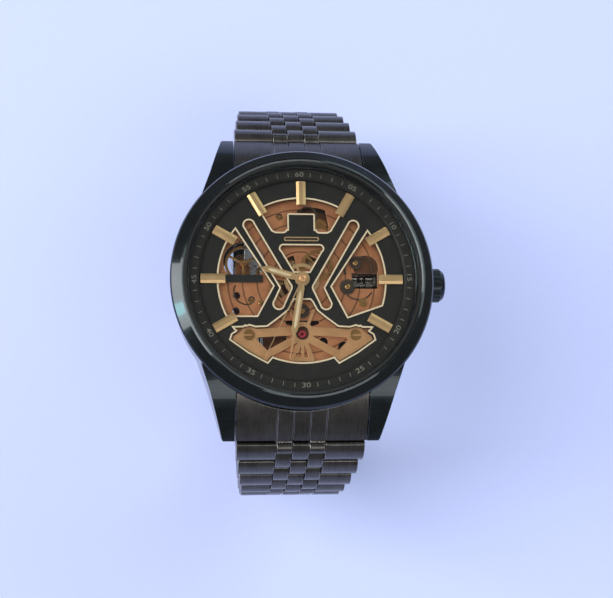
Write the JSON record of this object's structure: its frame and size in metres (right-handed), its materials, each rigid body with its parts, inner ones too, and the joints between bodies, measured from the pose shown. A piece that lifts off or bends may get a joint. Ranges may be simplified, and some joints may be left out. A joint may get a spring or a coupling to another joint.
{
  "type": "automatic wristwatch",
  "caption": "Round automatic wristwatch with a skeleton dial, fluted crown, articulated five-column link bracelet and folding clasp.",
  "frame": {"origin": "centre of the case back's flat outer face", "axes": "+Z out of the dial, +Y to 12 o'clock, +X to the crown"},
  "size_m": [0.0469, 0.0749, 0.064],
  "materials": {
    "black_steel": "polished black plating",
    "gunmetal": "brushed black plating",
    "sapphire": "clear",
    "rubber": "matte",
    "dial": "matte charcoal lacquer",
    "gold": "pale gold, brushed",
    "copper": "rose-copper plating, fine grained",
    "ruby": "polished ruby",
    "steel": "brushed",
    "holder": "moulded black"
  },
  "bodies": {
    "case": {"case_middle": "black_steel", "bezel": "black_steel", "crystal": "sapphire", "crystal_gasket": "rubber", "minute_ring": "dial", "dial_plate": "dial", "window_rims": "gold", "hour_batons": "gold", "plaque": "dial", "mainplate": "copper", "dial_bridge": "copper", "barrel_bridge": "copper", "train_bridge": "copper", "balance_cock": "copper", "jewels": "ruby", "movement_screws": "steel", "movement_ring": "holder", "case_back": "gunmetal", "back_glass": "sapphire", "crown_tube": "steel", "end_links": "gunmetal"},
    "stem_lever": {"setting_lever": "steel"},
    "crown": {"crown": "black_steel"},
    "seconds": {"second_hand": "gold", "fourth_wheel": "gold"},
    "minutes": {"minute_hand": "gold"},
    "hours": {"hour_hand": "gold"},
    "minute_wheel": {"minute_wheel": "gold"},
    "third_wheel": {"third_wheel": "gold"},
    "escape_wheel": {"escape_wheel": "steel"},
    "pallet_fork": {"pallet_fork": "steel"},
    "balance": {"balance_wheel": "gold"},
    "barrel": {"barrel": "gold"},
    "rotor": {"rotor": "steel"},
    "row_12_1": {"row_12_1": "gunmetal"},
    "row_12_2": {"row_12_2": "gunmetal"},
    "row_12_3": {"row_12_3": "gunmetal"},
    "row_12_4": {"row_12_4": "gunmetal"},
    "row_12_5": {"row_12_5": "gunmetal"},
    "row_12_6": {"row_12_6": "gunmetal"},
    "row_12_7": {"row_12_7": "gunmetal"},
    "row_12_8": {"row_12_8": "gunmetal"},
    "row_12_9": {"row_12_9": "gunmetal"},
    "row_12_10": {"row_12_10": "gunmetal"},
    "row_6_1": {"row_6_1": "gunmetal"},
    "row_6_2": {"row_6_2": "gunmetal"},
    "row_6_3": {"row_6_3": "gunmetal"},
    "row_6_4": {"row_6_4": "gunmetal"},
    "row_6_5": {"row_6_5": "gunmetal"},
    "row_6_6": {"row_6_6": "gunmetal"},
    "row_6_7": {"row_6_7": "gunmetal"},
    "row_6_8": {"row_6_8": "gunmetal"},
    "row_6_9": {"row_6_9": "gunmetal"},
    "row_6_10": {"row_6_10": "gunmetal"},
    "clasp_cover": {"clasp_cover": "black_steel"},
    "clasp_arms": {"clasp_arms": "steel"},
    "clasp_tongue": {"clasp_tongue": "steel"},
    "button_left": {"button_left": "steel"},
    "button_right": {"button_right": "steel"}
  },
  "joints": [
    {"name": "crown_pull", "type": "slide", "parent": "case", "child": "stem_lever", "axis": [1, 0, 0], "range_m": [0, 0.001]},
    {"name": "crown_turn", "type": "hinge", "parent": "stem_lever", "child": "crown", "pos_m": [0.022, 0, 0.0048], "axis": [1, 0, 0], "continuous": true},
    {"name": "second_turn", "type": "hinge", "parent": "case", "child": "seconds", "pos_m": [0, 0, 0.009], "axis": [0, 0, -1], "continuous": true},
    {"name": "minute_turn", "type": "hinge", "parent": "case", "child": "minutes", "pos_m": [0, 0, 0.009], "axis": [0, 0, -1], "continuous": true},
    {"name": "hour_turn", "type": "hinge", "parent": "case", "child": "hours", "pos_m": [0, 0, 0.009], "axis": [0, 0, -1], "continuous": true},
    {"name": "minute_wheel_turn", "type": "hinge", "parent": "case", "child": "minute_wheel", "pos_m": [0.0026, 0.0026, 0.008], "axis": [0, 0, -1], "continuous": true},
    {"name": "third_turn", "type": "hinge", "parent": "case", "child": "third_wheel", "pos_m": [0.00225, -0.0039, 0.005], "axis": [0, 0, -1], "continuous": true},
    {"name": "escape_turn", "type": "hinge", "parent": "case", "child": "escape_wheel", "pos_m": [-0.00455, 0.00153, 0.005], "axis": [0, 0, -1], "continuous": true},
    {"name": "barrel_turn", "type": "hinge", "parent": "case", "child": "barrel", "pos_m": [0.0019, 0.00624, 0.005], "axis": [0, 0, -1], "continuous": true},
    {"name": "pallet_rock", "type": "hinge", "parent": "case", "child": "pallet_fork", "pos_m": [-0.00705, 0.00295, 0.005], "axis": [0, 0, -1], "range_deg": [-6, 6]},
    {"name": "balance_swing", "type": "hinge", "parent": "case", "child": "balance", "pos_m": [-0.0097, 0.0033, 0.005], "axis": [0, 0, -1], "range_deg": [-150, 150]},
    {"name": "rotor_turn", "type": "hinge", "parent": "case", "child": "rotor", "pos_m": [0, 0, 0.002], "axis": [0, 0, -1], "continuous": true},
    {"name": "strap_12_lay_flat", "type": "hinge", "parent": "case", "child": "row_12_1", "pos_m": [0, 0.0271, 0.0013], "axis": [1, 0, 0], "range_deg": [0, 42]},
    {"name": "strap_12_bend_2", "type": "hinge", "parent": "row_12_1", "child": "row_12_2", "pos_m": [0, 0.03049, -0.00303], "axis": [1, 0, 0], "range_deg": [0, 3.41]},
    {"name": "strap_12_bend_3", "type": "hinge", "parent": "row_12_2", "child": "row_12_3", "pos_m": [0, 0.03361, -0.00756], "axis": [1, 0, 0], "range_deg": [0, 5.24]},
    {"name": "strap_12_bend_4", "type": "hinge", "parent": "row_12_3", "child": "row_12_4", "pos_m": [0, 0.0363, -0.01236], "axis": [1, 0, 0], "range_deg": [0, 7.07]},
    {"name": "strap_12_bend_5", "type": "hinge", "parent": "row_12_4", "child": "row_12_5", "pos_m": [0, 0.03839, -0.01745], "axis": [1, 0, 0], "range_deg": [0, 8.9]},
    {"name": "strap_12_bend_6", "type": "hinge", "parent": "row_12_5", "child": "row_12_6", "pos_m": [0, 0.03966, -0.0228], "axis": [1, 0, 0], "range_deg": [0, 10.73]},
    {"name": "strap_12_bend_7", "type": "hinge", "parent": "row_12_6", "child": "row_12_7", "pos_m": [0, 0.03991, -0.02829], "axis": [1, 0, 0], "range_deg": [0, 12.55]},
    {"name": "strap_12_bend_8", "type": "hinge", "parent": "row_12_7", "child": "row_12_8", "pos_m": [0, 0.03897, -0.03371], "axis": [1, 0, 0], "range_deg": [0, 14.38]},
    {"name": "strap_12_bend_9", "type": "hinge", "parent": "row_12_8", "child": "row_12_9", "pos_m": [0, 0.03671, -0.03872], "axis": [1, 0, 0], "range_deg": [0, 16.21]},
    {"name": "strap_12_bend_10", "type": "hinge", "parent": "row_12_9", "child": "row_12_10", "pos_m": [0, 0.03314, -0.0429], "axis": [1, 0, 0], "range_deg": [0, 18.04]},
    {"name": "strap_6_lay_flat", "type": "hinge", "parent": "case", "child": "row_6_1", "pos_m": [0, -0.0271, 0.0013], "axis": [-1, 0, 0], "range_deg": [0, 56]},
    {"name": "strap_6_bend_2", "type": "hinge", "parent": "row_6_1", "child": "row_6_2", "pos_m": [0, -0.02929, -0.00374], "axis": [-1, 0, 0], "range_deg": [0, 5.1]},
    {"name": "strap_6_bend_3", "type": "hinge", "parent": "row_6_2", "child": "row_6_3", "pos_m": [0, -0.03103, -0.00896], "axis": [-1, 0, 0], "range_deg": [0, 6.29]},
    {"name": "strap_6_bend_4", "type": "hinge", "parent": "row_6_3", "child": "row_6_4", "pos_m": [0, -0.03218, -0.01434], "axis": [-1, 0, 0], "range_deg": [0, 7.49]},
    {"name": "strap_6_bend_5", "type": "hinge", "parent": "row_6_4", "child": "row_6_5", "pos_m": [0, -0.03263, -0.01982], "axis": [-1, 0, 0], "range_deg": [0, 8.69]},
    {"name": "strap_6_bend_6", "type": "hinge", "parent": "row_6_5", "child": "row_6_6", "pos_m": [0, -0.03224, -0.02531], "axis": [-1, 0, 0], "range_deg": [0, 9.88]},
    {"name": "strap_6_bend_7", "type": "hinge", "parent": "row_6_6", "child": "row_6_7", "pos_m": [0, -0.03091, -0.03065], "axis": [-1, 0, 0], "range_deg": [0, 11.08]},
    {"name": "strap_6_bend_8", "type": "hinge", "parent": "row_6_7", "child": "row_6_8", "pos_m": [0, -0.02858, -0.03563], "axis": [-1, 0, 0], "range_deg": [0, 12.27]},
    {"name": "strap_6_bend_9", "type": "hinge", "parent": "row_6_8", "child": "row_6_9", "pos_m": [0, -0.02525, -0.04], "axis": [-1, 0, 0], "range_deg": [0, 13.47]},
    {"name": "strap_6_bend_10", "type": "hinge", "parent": "row_6_9", "child": "row_6_10", "pos_m": [0, -0.02099, -0.04348], "axis": [-1, 0, 0], "range_deg": [0, 14.67]},
    {"name": "clasp_swing", "type": "hinge", "parent": "row_6_10", "child": "clasp_tongue", "pos_m": [0, -0.01599, -0.04577], "axis": [-1, 0, 0], "range_deg": [0, 18]},
    {"name": "clasp_unfold", "type": "hinge", "parent": "clasp_tongue", "child": "clasp_arms", "pos_m": [0, 0.0197, -0.0484], "axis": [1, 0, 0], "range_deg": [0, 120]},
    {"name": "cover_unfold", "type": "hinge", "parent": "clasp_arms", "child": "clasp_cover", "pos_m": [0, -0.00978, -0.04776], "axis": [-1, 0, 0], "range_deg": [0, 120]},
    {"name": "button_left_press", "type": "slide", "parent": "clasp_cover", "child": "button_left", "axis": [1, 0, 0], "range_m": [0, 0.0005], "stiffness_N_per_m": 600, "springref_m": -0.0006},
    {"name": "button_right_press", "type": "slide", "parent": "clasp_cover", "child": "button_right", "axis": [-1, 0, 0], "range_m": [0, 0.0005], "stiffness_N_per_m": 600, "springref_m": -0.0006}
  ],
  "couplings": [
    {"joint": "minute_turn", "follows": "second_turn", "ratio": 0.016667},
    {"joint": "hour_turn", "follows": "second_turn", "ratio": 0.0013889},
    {"joint": "minute_wheel_turn", "follows": "second_turn", "ratio": -0.0055556},
    {"joint": "third_turn", "follows": "second_turn", "ratio": -0.13333},
    {"joint": "escape_turn", "follows": "second_turn", "ratio": -9},
    {"joint": "barrel_turn", "follows": "second_turn", "ratio": -0.0025641},
    {"joint": "cover_unfold", "follows": "clasp_unfold", "ratio": 1}
  ]
}
